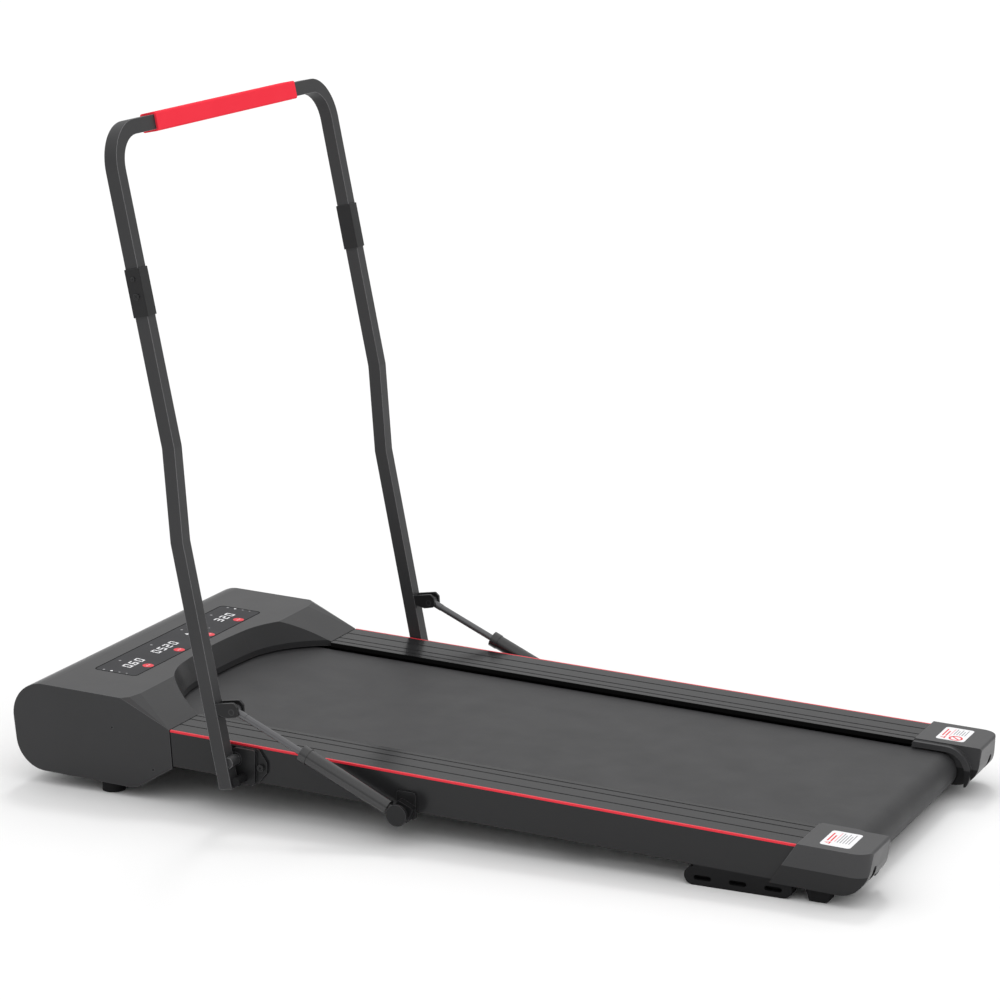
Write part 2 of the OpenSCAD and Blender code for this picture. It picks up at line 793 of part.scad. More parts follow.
slot_len = 25;
module foot_bar() {
    color("#232324") difference() {
        union() {
            world() along_x(bar_x0, w) hull_bar(bar_y0, bar_y0 + bar_len, 0, bar_h);
            world() box(bar_x0, w, bar_y0 + bar_h / 2, bar_y0 + bar_len - bar_h / 2, bar_h / 2, rail_bottom + 12);
        }
        deck() box(0, far, -far, far, rail_bottom, far);
        for (i = [0 : 2]) world() along_x(w - 12, w + 1)
            hull_bar(bar_y0 + 14 + i * (bar_len - 28 - slot_len) / 2,
                bar_y0 + 14 + slot_len + i * (bar_len - 28 - slot_len) / 2, 7.5, 14.5);
    }
    color("#232324") deck() box(tube_out, w - rail_wall, bar_y0 + 30, bar_y0 + bar_len - 40,
        rail_bottom, rail_bottom + 6);
}

module hull_bar(y0, y1, z0, z1) {
    r = (z1 - z0) / 2;
    translate([y0 + r, z0]) square([y1 - y0 - 2 * r, 2 * r]);
    for (y = [y0 + r, y1 - r]) translate([y, z0 + r]) circle(r = r);
}

wheel_pin_d = 6;
fork_in = wheel_w / 2 + 1.5;
module wheel_forks() {
    color("#3b3d40") deck() both() {
        difference() {
            union() for (s = [-1, 1])
                box(tube_mid + (s > 0 ? fork_in : -fork_in - 3), tube_mid + (s > 0 ? fork_in + 3 : -fork_in),
                    wheel_y - 12, wheel_y + 12, wheel_z - 8, tube_low);
            rod_x(tube_mid - 20, tube_mid + 20, wheel_y, wheel_z, wheel_pin_d);
        }
        box(tube_mid - fork_in - 3, tube_mid + fork_in + 3, wheel_y - 12, wheel_y + 12, tube_low - 3, tube_low);
        rod_x(tube_mid - fork_in - 4, tube_mid + fork_in + 4, wheel_y, wheel_z, wheel_pin_d);
    }
}

module wheel() {
    color("#1a1a1a") deck() difference() {
        rod_x(tube_mid - wheel_w / 2, tube_mid + wheel_w / 2, wheel_y, wheel_z, wheel_d);
        rod_x(tube_mid - 20, tube_mid + 20, wheel_y, wheel_z, wheel_pin_d + 2 * run_fit);
        for (s = [-1, 1]) translate([tube_mid + s * wheel_w / 2, wheel_y, wheel_z]) rotate([0, 90, 0])
            difference() {
                cylinder(h = 6, d = wheel_d - 12, center = true);
                cylinder(h = 8, d = wheel_pin_d + 8, center = true);
            }
    }
}

// ---------- handrail pivots ----------

plate_x = w + 4;
boss_x = w + post_gap - 4.3;
stop_d = 13;
stop_u = -28;
stop_v = -stop_d / 2 - fit;
block_x = boss_x - 1;
end_t = 1.5;
pin_end = post_x + post_w / 2 - 3 - end_t - fit;

// Frame of the pivot bracket: origin at the pivot, +Y along the rail
module bracket_frame() { deck() translate([0, pivot_deck[0], pivot_deck[1]]) children(); }

module pivot_brackets() {
    color("#232325") both() {
        difference() {
            union() {
                bracket_frame() {
                    along_x(w, plate_x) rounded([[-48, -15, 6], [-34, -33, 4], [18, -33, 5], [18, 18, 5],
                        [-34, 18, 4], [-48, 0, 6]]);
                    along_x(plate_x, block_x) rounded([[-31, -36, 7], [4, -36, 4], [4, 17, 4], [-31, 17, 4]]);
                }
                post_frame() rod_x(plate_x, boss_x, 0, 0, 20);
                post_frame() rod_x(plate_x, post_x, stop_v, stop_u, 7);
            }
            post_frame() rod_x(w - 1, post_x, 0, 0, pin_d);
            bracket_frame() for (p = bolt_spots) rod_x(w - 1, plate_x + 1, p[0], p[1], bolt_d);
        }
        // spacer between the rail's skirt and the frame tube
        deck() box(tube_out, w - rail_wall, pivot_deck[0] - 30, pivot_deck[0] + 4,
            rail_bottom + 4, tube_top - 6);
    }
}

module pivot_pins() {
    color("#9da0a4") both() post_frame() rod_x(w, pin_end, 0, 0, pin_d);
}

module stop_pins() {
    color("#151516") both() post_frame() difference() {
        rod_x(block_x, post_x + 8, stop_v, stop_u, stop_d);
        rod_x(block_x - 1, post_x, stop_v, stop_u, 7);
    }
}

module bracket_bolts() {
    color("#2c2d30") both() bracket_frame() for (p = bolt_spots) {
        rod_x(w - rail_wall, plate_x, p[0], p[1], bolt_d);
        translate([plate_x, p[0], p[1]]) rotate([0, 90, 0]) difference() {
            cylinder(h = 4, d = 10);
            translate([0, 0, 2]) cylinder(h = 3, d = 5, $fn = 6);
        }
    }
}

anchor_out = post_x - eye_w / 2;
cap_disc_d = 31;
module strut_anchors() {
    color("#29292b") both() {
        world() translate([0, anchor[0], anchor[1] + 6]) along_x(w, w + 4) plate(30, 40, 5);
        world() translate([0, anchor[0], anchor[1]]) rotate([strut_angle, 0, 0]) {
            along_x(w + 4, anchor_out - 3) plate(26, 24, 3);
            rod_x(anchor_out - 3, anchor_out - fit, 0, 0, 14);
            rod_x(anchor_out - fit, post_x + eye_w / 2 + fit, 0, 0, eye_bore);
            rod_x(post_x + eye_w / 2 + fit, post_x + post_w / 2, 0, 0, cap_disc_d);
        }
    }
}

// ---------- handrail ----------

// Offset of a kinked line by d, mitred at its bends
function miter(p, a, b, d) = p + d * (across(a) + across(b)) / (1 + across(a) * across(b));
function post_line(d, foot, top) = [post_start + across(lean_low) * d + along(lean_low) * foot,
    miter(post_kink_1, lean_low, lean_mid, d), miter(post_kink_2, lean_mid, lean_up, d),
    post_split + across(lean_up) * d + along(lean_up) * top];
function reversed(v) = [for (i = [len(v) - 1 : -1 : 0]) v[i]];
module post_view(d, foot, top) {
    polygon(concat(post_line(-d, foot, top), reversed(post_line(d, foot, top))));
}

module post() {
    color("#48484a") {
        difference() {
            world() along_x(post_x - post_w / 2, post_x + post_w / 2) post_view(post_d / 2, 0, 0);
            world() along_x(post_x - post_w / 2 + post_wall, post_x + post_w / 2 - post_wall)
                post_view(post_d / 2 - post_wall, 3, 1);
            post_frame() rod_x(post_x - post_w, pin_end + fit + end_t, 0, 0, barrel_d);
        }
    }
}

module pivot_barrels() {
    color("#3a3a3c") both() post_frame()
        difference() {
            rod_x(boss_x + fit, pin_end + fit + end_t, 0, 0, barrel_d);
            rod_x(boss_x, pin_end + fit, 0, 0, pin_d + 2 * run_fit);
        }
}

module upper_frame() {
    world() translate([0, post_split[0], post_split[1]]) rotate([-lean_up, 0, 0]) children();
}

up_len = post_up - split;

// Arch-shaped outline of the handrail's top, grown by d over its middle line
module bar_outline(d, foot) {
    rounded([[-post_x - d, foot, 0], [post_x + d, foot, 0], [post_x + d, up_len + d, bend_r + d],
        [-post_x - d, up_len + d, bend_r + d]]);
}

module bar_solid(d) {
    half_w = post_w / 2 - d;
    half_d = post_d / 2 - d;
    along_y(-half_d, half_d) difference() {
        bar_outline(half_w, -d);
        bar_outline(-half_w, -d - 1);
    }
}

module upper_bar() {
    color("#48484a") upper_frame() difference() {
        bar_solid(0);
        intersection() {
            bar_solid(post_wall);
            translate([-far, -far, -1]) cube([2 * far, 2 * far, up_len + post_w]);
        }
    }
}

module post_sleeves() {
    color("#3d3d3f") both() upper_frame() difference() {
        translate([post_x, 0, -sleeve_h / 2]) linear_extrude(sleeve_h)
            plate(post_w + 2 * sleeve_t, post_d + 2 * sleeve_t, 1.5);
        translate([post_x - post_w / 2, -post_d / 2, -sleeve_h]) cube([post_w, post_d, 2 * sleeve_h]);
    }
}

// Sleeve screws, as [height on the sleeve, head diameter]
screw_spots = [[20, 6], [-5, 9]];
module sleeve_screws() {
    color("#1f1f20") both() upper_frame() for (p = screw_spots)
        translate([post_x + post_w / 2 + sleeve_t, 0, p[0]]) rotate([0, 90, 0]) difference() {
            cylinder(h = 1.6, d = p[1]);
            translate([0, 0, 0.6]) cylinder(h = 2, d = p[1] * 0.45, $fn = 6);
        }
}

module foam_grip() {
    color("#ff3345") upper_frame() translate([-grip_len / 2, 0, up_len]) rotate([0, 90, 0])
        linear_extrude(grip_len) difference() {
            plate(post_w + 2 * grip_t, post_d + 2 * grip_t, 3);
            square([post_w, post_d], center = true);
        }
}

cheek_in = eye_w / 2 + 0.5;
back_t = 2;
module strut_brackets() {
    color("#29292b") both() post_frame() {
        for (s = [-1, 1]) difference() {
            along_x(post_x + (s > 0 ? cheek_in : -cheek_in - cheek_t), post_x + (s > 0 ? cheek_in + cheek_t : -cheek_in))
                rounded([[-eye_v - 9, eye_u - 8, 5], [-eye_v + 9, eye_u - 8, 5], [-back_t, eye_u - 2, 0],
                    [-back_t, eye_u + 14, 0], [-eye_v - 6, eye_u + 13, 4], [-eye_v - 11, eye_u + 6, 3]]);
            rod_x(post_x - post_w, post_x + post_w, -eye_v, eye_u, eye_bore);
        }
        box(post_x - cheek_in - cheek_t, post_x + cheek_in + cheek_t, -back_t, 0, eye_u - 6, eye_u + 14);
    }
}

module strut_screws() {
    color("#1b1b1c") both() post_frame() for (s = [-1, 1])
        rod_x(post_x + (s > 0 ? cheek_in : -cheek_in - cheek_t), post_x + (s > 0 ? cheek_in + cheek_t : -cheek_in),
            -eye_v, eye_u, eye_bore);
}

// ---------- gas struts ----------

barrel_z = cap_disc_d / 2 + 2;
module strut_cylinder(side) {
    color("#333335") strut_frame(side) difference() {
        union() {
            rod_x(-eye_w / 2, eye_w / 2, 0, 0, 2 * low_eye_r);
            cylinder(h = barrel_z + 1, d = 12);
            translate([0, 0, barrel_z]) cylinder(h = cyl_len - gland_h - barrel_z, d = cyl_d);
            translate([0, 0, cyl_len - gland_h - 3]) cylinder(h = 3, d = cyl_d - 2);
            translate([0, 0, cyl_len - gland_h]) cylinder(h = gland_h, d = cyl_d + 2);
        }
        rod_x(-eye_w, eye_w, 0, 0, eye_bore + 2 * run_fit);
        translate([0, 0, 22]) cylinder(h = cyl_len - gland_h - 26, d = cyl_d - 4);
        translate([0, 0, 30]) cylinder(h = cyl_len, d = rod_d + 2 * run_fit);
    }
}

module strut_rod(side) {
    color("#b8babd") strut_frame(side) {
        difference() {
            union() {
                translate([0, 0, cyl_len - gland_h - rod_inside])
                    cylinder(h = strut_len - eye_r - 8 - cyl_len + gland_h + rod_inside, d = rod_d);
                translate([0, 0, strut_len - eye_r - 12]) cylinder(h = 14, d = rod_d + 1);
                translate([0, 0, strut_len]) rod_x(-eye_w / 2, eye_w / 2, 0, 0, 2 * eye_r);
            }
            translate([0, 0, strut_len]) rod_x(-eye_w, eye_w, 0, 0, eye_bore + 2 * run_fit);
        }
        translate([0, 0, cyl_len - gland_h - rod_inside]) cylinder(h = 8, d = cyl_d - 4 - 2 * run_fit);
    }
}

// The machine's box is centred on the origin
y_front = to_world(inset(hood_corners, hood_r)[3])[0] + hood_r;
y_rear = to_world([-cap_len + cap_edge, cap_top - cap_edge])[0] - cap_edge;
y_mid = (y_front + y_rear) / 2;

// ---------- drawing ----------

left() frame_tube();  // left_frame_tube
frame_tube();  // right_frame_tube
cross_members();
deck_board();
deck_cushions();
running_belt();
left() side_rail();  // left_side_rail
side_rail();  // right_side_rail
rail_supports();
left() trim_strip();  // left_trim_strip
trim_strip();  // right_trim_strip
left() end_cap();  // left_end_cap
end_cap();  // right_end_cap
tension_bolts();
rear_axle();
front_axle();
roller_bearings();
rear_roller();
front_roller();
roller_pulley();
drive_belt();
motor_housing();
motor_bracket();
motor_shaft();
motor_pulley();
motor_hood();
belly_pan();
display_lens();
display_board();
touch_keys();
control_box();
inlet_panel();
power_inlet();
rocker_switch();
front_feet();
rear_feet();
left() foot_bar();  // left_foot_bar
foot_bar();  // right_foot_bar
wheel_forks();
left() wheel();  // left_wheel
wheel();  // right_wheel
pivot_brackets();
pivot_pins();
stop_pins();
strut_anchors();
left() post();  // left_post
post();  // right_post
pivot_barrels();
upper_bar();
post_sleeves();
foam_grip();
sleeve_screws();
strut_brackets();
strut_screws();
strut_cylinder(-1);  // left_strut_cylinder
strut_cylinder(1);  // right_strut_cylinder
strut_rod(-1);  // left_strut_rod
strut_rod(1);  // right_strut_rod
bracket_bolts();
hood_screws();
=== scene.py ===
import math

import bpy
from mathutils import Matrix, Vector


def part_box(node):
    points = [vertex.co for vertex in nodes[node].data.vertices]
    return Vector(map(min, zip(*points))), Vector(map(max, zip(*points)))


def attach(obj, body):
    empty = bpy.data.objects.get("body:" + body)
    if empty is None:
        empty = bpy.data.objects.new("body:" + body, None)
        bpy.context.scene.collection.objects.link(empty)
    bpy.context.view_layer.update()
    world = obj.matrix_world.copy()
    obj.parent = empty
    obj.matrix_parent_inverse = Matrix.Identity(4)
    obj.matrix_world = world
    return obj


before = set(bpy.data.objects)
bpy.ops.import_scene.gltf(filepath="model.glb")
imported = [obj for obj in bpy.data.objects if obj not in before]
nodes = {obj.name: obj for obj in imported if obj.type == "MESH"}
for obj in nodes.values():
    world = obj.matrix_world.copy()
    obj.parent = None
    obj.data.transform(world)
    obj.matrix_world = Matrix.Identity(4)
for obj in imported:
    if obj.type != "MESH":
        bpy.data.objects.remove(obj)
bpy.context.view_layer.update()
MM = 0.001

scene = bpy.context.scene


# ---------- camera ----------

CAMERA_AT = (-4.3355, -1.9783, 1.5853)
CAMERA_YAW = math.radians(24.63)
CAMERA_PITCH = math.radians(13.67)
CAMERA_LENS = 122.44
SENSOR_WIDTH = 36.0
VIEW_DEPTH = 60.0


def place_camera():
    data = bpy.data.cameras.new("view")
    data.sensor_width = SENSOR_WIDTH
    data.lens = CAMERA_LENS
    data.clip_end = VIEW_DEPTH
    camera = bpy.data.objects.new("view", data)
    scene.collection.objects.link(camera)
    camera.location = CAMERA_AT
    level = math.cos(CAMERA_PITCH)
    ahead = Vector((level * math.cos(CAMERA_YAW), level * math.sin(CAMERA_YAW), -math.sin(CAMERA_PITCH)))
    camera.rotation_euler = ahead.to_track_quat("-Z", "Y").to_euler()
    scene.camera = camera


# ---------- materials ----------

NOISE_LOW, NOISE_HIGH = 0.3, 0.7  # noise values that give a material's two extremes
ROUGH_SPREAD = 0.08
# the painted highlight along sharp edges: the radius of its bevel sampling and its strength
EDGE_RADIUS = 1.2 * MM
EDGE_GAIN = 4.0
BEVEL_SAMPLES = 6
GRAIN_DEPTH = 0.2 * MM
LIP = 1.5 * MM
SEAM_SHARE = 0.45  # height of the end caps' seam, as a share of their height


def linear(c):
    """An sRGB value from 0 to 255 as linear light."""
    c = c / 255
    return c / 12.92 if c <= 0.04045 else ((c + 0.055) / 1.055) ** 2.4


def shade(*rgb):
    """A colour from sRGB values."""
    return tuple(linear(c) for c in rgb) + (1.0,)


class Graph:
    """A material and short ways to add nodes to it."""

    def __init__(self, name):
        self.material = bpy.data.materials.new(name)
        self.material.use_nodes = True
        self.tree = self.material.node_tree
        self.shader = self.tree.nodes["Principled BSDF"]
        coords = self.tree.nodes.new("ShaderNodeTexCoord")
        self.where = coords.outputs["Object"]

    def add(self, kind, **inputs):
        node = self.tree.nodes.new(kind)
        for key, value in inputs.items():
            self.put(node.inputs[key.replace("_", " ")], value)
        return node

    def put(self, socket, value):
        if isinstance(value, bpy.types.NodeSocket):
            self.tree.links.new(value, socket)
        else:
            socket.default_value = value

    def set(self, **inputs):
        for key, value in inputs.items():
            self.put(self.shader.inputs[key.replace("_", " ")], value)

    def noise(self, scale, detail=3.0, stretch=(1, 1, 1)):
        mapping = self.add("ShaderNodeMapping", Vector=self.where, Scale=stretch)
        noise = self.add("ShaderNodeTexNoise", Vector=mapping.outputs[0], Scale=scale, Detail=detail)
        return noise.outputs["Fac"]

    def between(self, factor, low, high):
        """From low to high, colours or numbers, as factor goes from NOISE_LOW to NOISE_HIGH."""
        if isinstance(low, tuple):
            ramp = self.add("ShaderNodeValToRGB", Fac=factor)
            first, last = ramp.color_ramp.elements
            first.position, first.color = NOISE_LOW, low
            last.position, last.color = NOISE_HIGH, high
            return ramp.outputs["Color"]
        spread = self.add("ShaderNodeMapRange", Value=factor, From_Min=NOISE_LOW, From_Max=NOISE_HIGH,
                          To_Min=low, To_Max=high)
        return spread.outputs["Result"]

    def bump(self, height, strength, distance):
        bump = self.add("ShaderNodeBump", Height=height, Strength=strength, Distance=distance)
        self.put(self.shader.inputs["Normal"], bump.outputs["Normal"])

    def math(self, operation, a, b):
        node = self.tree.nodes.new("ShaderNodeMath")
        node.operation = operation
        node.use_clamp = True
        self.put(node.inputs[0], a)
        self.put(node.inputs[1], b)
        return node.outputs[0]

    def dot(self, a, b):
        node = self.tree.nodes.new("ShaderNodeVectorMath")
        node.operation = "DOT_PRODUCT"
        self.put(node.inputs[0], a)
        self.put(node.inputs[1], b)
        return node.outputs["Value"]

    def mix(self, factor, first, second):
        node = self.tree.nodes.new("ShaderNodeMix")
        node.data_type = "RGBA"
        self.put(node.inputs["Factor"], factor)
        colours = [socket for socket in node.inputs if socket.type == "RGBA"]
        self.put(colours[0], first)
        self.put(colours[1], second)
        return next(socket for socket in node.outputs if socket.type == "RGBA")

    def edges(self, radius, gain):
        """1 along sharp edges and 0 on flat faces."""
        rounded = self.add("ShaderNodeBevel", Radius=radius)
        rounded.samples = BEVEL_SAMPLES
        real = self.tree.nodes.new("ShaderNodeNewGeometry")
        alike = self.dot(rounded.outputs["Normal"], real.outputs["True Normal"])
        return self.math("MULTIPLY", self.math("SUBTRACT", 1.0, alike), gain)

    def axis(self, name):
        split = self.add("ShaderNodeSeparateXYZ", Vector=self.where)
        return split.outputs[name]


def middle(name):
    low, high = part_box(name)
    return (Vector(low) + Vector(high)) / 2


run = middle("front_axle") - middle("rear_axle")
slope = math.atan2(run.z, run.y)
tilt = Matrix.Rotation(slope, 4, "X")
deck_up = (tilt @ Vector((0, 0, 1))).normalized()


def surface(name, colour, rough, metal=0.0, spread=0.06, tone_scale=6.0, grain=0.0, grain_scale=900.0,
            specular=0.25, stretch=(1, 1, 1), edge=None, mask=None):
    """A procedural material; colours are linear.

    edge is a painted highlight colour laid along sharp edges; mask is (function of the graph, colour) for
    part of the piece.
    """
    g = Graph(name)
    tone = g.noise(tone_scale, 4.0, stretch)
    dark = tuple(c * (1 - spread) for c in colour[:3]) + (1.0,)
    light = tuple(min(1, c * (1 + spread)) for c in colour[:3]) + (1.0,)
    base = g.between(tone, dark, light)
    # painted highlight: the edge colour is mixed in along sharp edges
    if edge:
        base = g.mix(g.edges(EDGE_RADIUS, EDGE_GAIN), base, edge)
    if mask:
        base = g.mix(mask[0](g), base, mask[1])
    g.set(Base_Color=base, Metallic=metal)
    wear = g.noise(tone_scale * 3, 5.0, stretch)
    g.set(Roughness=g.between(wear, rough * (1 - ROUGH_SPREAD), rough * (1 + ROUGH_SPREAD)))
    g.put(g.shader.inputs["Specular IOR Level"], specular)
    if grain:
        g.bump(g.noise(grain_scale, 2.0, stretch), grain, GRAIN_DEPTH)
    return g.material


def dress(material, *names):
    for name in names:
        mesh = nodes[name].data
        mesh.materials.clear()
        mesh.materials.append(material)


# the painted shade on the rails' inner side reaches out to this distance from the middle
rail_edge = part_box("right_side_rail")[0][0] + LIP


def inner_lip_shade(g):
    """1 on the rails' inner edge, beside the belt: the band painted dark as the shade in the gap there."""
    across = g.tree.nodes.new("ShaderNodeMath")
    across.operation = "ABSOLUTE"
    g.put(across.inputs[0], g.axis("X"))
    return g.math("LESS_THAN", across.outputs[0], rail_edge)


def cap_foot(g):
    """1 on the end caps' lower shell."""
    low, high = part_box("left_end_cap")
    seam = Vector((0, (low[1] + high[1]) / 2, low[2] + SEAM_SHARE * (high[2] - low[2])))
    return g.math("LESS_THAN", g.dot(g.where, deck_up), seam.dot(deck_up))


# the rails' inner edge gets near-black painted shade for the dark gap beside the belt
rail_paint = surface("rail_paint", shade(38, 38, 39), 0.22, spread=0.04,
                     mask=(inner_lip_shade, shade(8, 8, 8)))
# the edge colours below are painted highlights along sharp edges
hood_grain_and_highlight = surface("hood_grain_and_highlight", shade(50, 50, 51), 0.3, grain=0.06, grain_scale=2200,
                     edge=shade(96, 96, 98))
cap_grain_and_highlight = surface("cap_grain_and_highlight", shade(64, 64, 65), 0.32, grain=0.08, grain_scale=2200,
                    edge=shade(96, 96, 98), mask=(cap_foot, shade(32, 32, 33)))
post_paint = surface("post_paint", shade(54, 54, 55), 0.45, grain=0.1, grain_scale=1800,
                     edge=shade(150, 150, 152))
frame_paint = surface("frame_paint", shade(18, 18, 19), 0.45, grain=0.08)
bracket_paint_and_highlight = surface("bracket_paint_and_highlight", shade(28, 28, 29), 0.4, grain=0.08, edge=shade(80, 80, 82))
black_plastic = surface("black_plastic", shade(32, 32, 33), 0.45, grain=0.1, edge=shade(60, 60, 62))
black_rubber = surface("black_rubber", shade(26, 26, 27), 0.7, grain=0.2, grain_scale=1500, specular=0.15)
belt_rubber = surface("belt_rubber", shade(58, 58, 59), 0.5, grain=0.25, grain_scale=1600, specular=0.2)
red_trim = surface("red_trim", shade(232, 46, 62), 0.35, spread=0.03)
red_foam = surface("red_foam", shade(255, 52, 70), 0.85, spread=0.03, grain=0.35, grain_scale=1300,
                   specular=0.15)
lens_black = surface("lens_black", shade(46, 46, 49), 0.45, spread=0.05, specular=0.12)
# a near-black band on the glass's border, painted as the shade in the gap around the glass
lens_gap_shade = surface("lens_gap_shade", shade(6, 6, 6), 0.6, spread=0.05, specular=0.05)
bright_steel = surface("bright_steel", (0.55, 0.56, 0.58, 1), 0.28, metal=1.0, spread=0.04)
turned_steel = surface("turned_steel", (0.45, 0.46, 0.48, 1), 0.35, metal=1.0, spread=0.05)
dark_rod = surface("dark_rod", shade(92, 92, 94), 0.25, metal=0.5, spread=0.03, specular=0.8)
cast_metal = surface("cast_metal", (0.3, 0.31, 0.33, 1), 0.45, metal=1.0, spread=0.05)
gloss_black = surface("gloss_black", shade(36, 36, 37), 0.24, spread=0.05, specular=0.7)
board_green = surface("board_green", (0.02, 0.13, 0.05, 1), 0.45)
board_wood = surface("board_wood", shade(52, 46, 43), 0.6, stretch=(1, 0.1, 1), spread=0.15)
switch_red = surface("switch_red", shade(190, 28, 36), 0.3, spread=0.03)
mark_white = surface("mark_white", shade(240, 240, 242), 0.5, spread=0.02)
mark_grey = surface("mark_grey", shade(150, 150, 152), 0.5, spread=0.03)
mark_red = surface("mark_red", shade(226, 60, 66), 0.5, spread=0.03)
mark_pink = surface("mark_pink", shade(238, 170, 176), 0.5, spread=0.03)

dress(rail_paint, "left_side_rail", "right_side_rail")
dress(hood_grain_and_highlight, "motor_hood")
dress(cap_grain_and_highlight, "left_end_cap", "right_end_cap")
dress(post_paint, "left_post", "right_post", "upper_bar", "pivot_barrels")
dress(frame_paint, "left_frame_tube", "right_frame_tube", "cross_members")
dress(bracket_paint_and_highlight, "motor_bracket", "wheel_forks", "pivot_brackets", "strut_anchors", "strut_brackets",
      "strut_screws", "bracket_bolts", "sleeve_screws", "hood_screws")
dress(black_plastic, "rail_supports", "belly_pan", "inlet_panel", "power_inlet", "post_sleeves")
dress(black_rubber, "deck_cushions", "drive_belt", "front_feet", "rear_feet", "left_foot_bar",
      "right_foot_bar", "left_wheel", "right_wheel", "stop_pins")
dress(belt_rubber, "running_belt")
dress(red_trim, "left_trim_strip", "right_trim_strip", "touch_keys")
dress(red_foam, "foam_grip")
dress(lens_black, "display_lens")
dress(bright_steel, "tension_bolts", "rear_axle", "front_axle", "roller_bearings", "motor_shaft",
      "pivot_pins")
dress(turned_steel, "rear_roller", "front_roller")
dress(dark_rod, "left_strut_rod", "right_strut_rod")
dress(cast_metal, "roller_pulley", "motor_pulley", "control_box")
dress(gloss_black, "motor_housing", "left_strut_cylinder", "right_strut_cylinder")
dress(board_green, "display_board")
dress(board_wood, "deck_board")
dress(switch_red, "rocker_switch")


SHARP = math.radians(32)


def ease(names, width, segments=3):
    """Small rounded edges where two faces meet at more than SHARP."""
    for name in names:
        bevel = nodes[name].modifiers.new("edges", "BEVEL")
        bevel.width = width
        bevel.segments = segments
        bevel.limit_method = "ANGLE"
        bevel.angle_limit = SHARP


# ---------- flat marks on the deck's faces ----------

MARK_THICK = 0.15 * MM
PAPER_THICK = 0.12 * MM
PRINT_THICK = 0.05 * MM


def face_frame(name, x):
    """Axes on a node's upper face, over its middle: X right, Y forward along the deck."""
    thing = nodes[name]
    height = max((thing.matrix_world @ v.co).dot(deck_up) for v in thing.data.vertices)
    centre = middle(name)
    centre.x = x
    centre += deck_up * (height - centre.dot(deck_up))
    return Matrix.Translation(centre) @ tilt


def slab(name, place, shapes, material, thick=MARK_THICK):
    """Thin raised marks on the base: every shape is a loop of (x, y) in millimetres on the face."""
    verts, faces = [], []
    for loop in shapes:
        start = len(verts)
        count = len(loop)
        for z in (0.0, thick):
            verts += [place @ Vector((x * MM, y * MM, z)) for x, y in loop]
        faces.append([start + count + i for i in range(count)])
        faces.append([start + i for i in reversed(range(count))])
        for i in range(count):
            j = (i + 1) % count
            faces.append([start + i, start + j, start + count + j, start + count + i])
    mesh = bpy.data.meshes.new(name)
    mesh.from_pydata(verts, [], faces)
    mesh.materials.append(material)
    thing = bpy.data.objects.new(name, mesh)
    scene.collection.objects.link(thing)
    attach(thing, "base")


def around(x, y, r, degrees):
    """The point at that angle on a circle about (x, y)."""
    return (x + r * math.cos(math.radians(degrees)), y + r * math.sin(math.radians(degrees)))


def disc(x, y, d, sides=20):
    return [around(x, y, d / 2, 360 * i / sides) for i in range(sides)]


def bar(x0, y0, x1, y1):
    return [(x0, y0), (x1, y0), (x1, y1), (x0, y1)]


def rounded_bar(x0, y0, x1, y1, r, steps=5):
    corners = [(x1 - r, y0 + r, -90), (x1 - r, y1 - r, 0), (x0 + r, y1 - r, 90), (x0 + r, y0 + r, 180)]
    return [around(cx, cy, r, a + 90 * i / steps) for cx, cy, a in corners for i in range(steps + 1)]


def ring(outer, inner):
    """A closed band between two loops with the same number of points, as four-sided loops."""
    count = len(outer)
    return [[outer[i], outer[(i + 1) % count], inner[(i + 1) % count], inner[i]] for i in range(count)]


SEGMENTS = {"0": "abcdef", "1": "bc", "2": "abged", "3": "abgcd", "5": "afgcd", "6": "afgcde"}
# the display, in millimetres; columns count from its middle, in widths between two keys
DIGIT_W, DIGIT_H, STROKE, SEGMENT_GAP, DIGIT_PITCH = 11.0, 16.0, 2.4, 0.5, 17.0
DIGIT_LEAN = 0.12
COLUMNS = ((-1.5, "060"), (-0.5, "0520"), (0.5, "15"), (1.5, "320"))
POINT_AT, POINT_SIZE, POINT_BASE = -9.2, 2.2, -8.0
ARROW_AT, ARROW_HALF, ARROW_BASE, ARROW_TIP = -15.0, 4.0, 3.0, 10.0
HEAD_DOT_Y, HEAD_DOT_D = 23.5, 4.2
LOW_DOT_AT, LOW_DOT_Y, LOW_DOT_D = 30.0, -8.0, 2.6
END_DOTS_X = 188
END_DOTS = ((21.6, 4.0), (8.4, 4.0), (-5.2, 3.0), (-17.5, 3.0))
WHITE_END_DOT = 1
RIM_W, RIM_OUTER_R, RIM_INNER_R, RIM_INSET = 1.6, 8, 7, 0.1
DASH_AT, DASH_HALF_W, DASH_HALF_H = 3.1, 2.2, 1.1


def digit(character, x, y):
    """A seven-segment digit centred on (x, y), leaning to the right."""
    half_w, half_h, s, gap = DIGIT_W / 2, DIGIT_H / 2, STROKE, SEGMENT_GAP
    parts = {
        "a": bar(-half_w + gap, half_h - s, half_w - gap, half_h),
        "g": bar(-half_w + gap, -s / 2, half_w - gap, s / 2),
        "d": bar(-half_w + gap, -half_h, half_w - gap, -half_h + s),
        "f": bar(-half_w, gap, -half_w + s, half_h - gap),
        "b": bar(half_w - s, gap, half_w, half_h - gap),
        "e": bar(-half_w, -half_h + gap, -half_w + s, -gap),
        "c": bar(half_w - s, -half_h + gap, half_w, -gap)}
    return [[(x + px + DIGIT_LEAN * py, y + py) for px, py in parts[k]] for k in SEGMENTS[character]]


